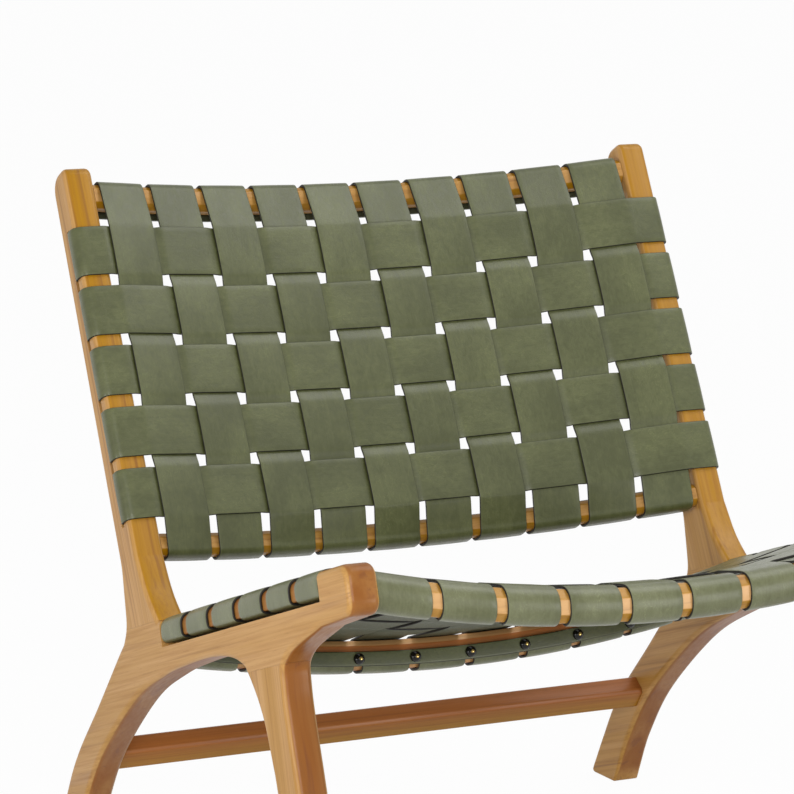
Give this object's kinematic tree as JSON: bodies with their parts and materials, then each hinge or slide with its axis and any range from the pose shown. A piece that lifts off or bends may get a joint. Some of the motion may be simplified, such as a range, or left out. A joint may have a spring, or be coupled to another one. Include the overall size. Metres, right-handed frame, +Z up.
{
  "type": "lounge chair",
  "caption": "Low lounge chair with shaped timber side frames and bowed rails, its seat and reclined back woven from flat leather straps that wrap the rails.",
  "frame": {"origin": "centre of the bounding box on the floor that the four feet stand on", "axes": "+Z up, the sitter faces -Y, +Y to the back of the chair, +X to the right of the picture"},
  "size_m": [0.648, 0.7042, 0.6783],
  "materials": {
    "frame_wood": "satin lacquer",
    "strap_leather": "smooth olive grain, semi-matt, dark painted edges",
    "tack_metal": "gloss black"
  },
  "bodies": {
    "root": {"back_cross_strap_1": "strap_leather", "back_cross_strap_2": "strap_leather", "back_cross_strap_3": "strap_leather", "back_cross_strap_4": "strap_leather", "back_cross_strap_5": "strap_leather", "back_long_strap_01": "strap_leather", "back_long_strap_02": "strap_leather", "back_long_strap_03": "strap_leather", "back_long_strap_04": "strap_leather", "back_long_strap_05": "strap_leather", "back_long_strap_06": "strap_leather", "back_long_strap_07": "strap_leather", "back_long_strap_08": "strap_leather", "back_long_strap_09": "strap_leather", "back_long_strap_10": "strap_leather", "back_lower_cover_strip": "strap_leather", "back_lower_rail": "frame_wood", "back_top_cover_strip": "strap_leather", "back_top_rail": "frame_wood", "left_back_post": "frame_wood", "left_front_leg": "frame_wood", "left_side_plank": "frame_wood", "rear_stretcher": "frame_wood", "right_back_post": "frame_wood", "right_front_leg": "frame_wood", "right_side_plank": "frame_wood", "seat_cross_strap_1": "strap_leather", "seat_cross_strap_2": "strap_leather", "seat_cross_strap_3": "strap_leather", "seat_cross_strap_4": "strap_leather", "seat_cross_strap_5": "strap_leather", "seat_cross_strap_6": "strap_leather", "seat_front_cover_strip": "strap_leather", "seat_front_rail": "frame_wood", "seat_long_strap_01": "strap_leather", "seat_long_strap_02": "strap_leather", "seat_long_strap_03": "strap_leather", "seat_long_strap_04": "strap_leather", "seat_long_strap_05": "strap_leather", "seat_long_strap_06": "strap_leather", "seat_long_strap_07": "strap_leather", "seat_long_strap_08": "strap_leather", "seat_long_strap_09": "strap_leather", "seat_long_strap_10": "strap_leather", "seat_rear_cover_strip": "strap_leather", "seat_rear_rail": "frame_wood", "seat_rear_tack_1": "tack_metal", "seat_rear_tack_2": "tack_metal", "seat_rear_tack_3": "tack_metal", "seat_rear_tack_4": "tack_metal", "seat_rear_tack_5": "tack_metal", "seat_rear_tack_6": "tack_metal", "seat_rear_tack_7": "tack_metal", "seat_rear_tack_8": "tack_metal", "seat_rear_tack_9": "tack_metal"}
  },
  "joints": []
}
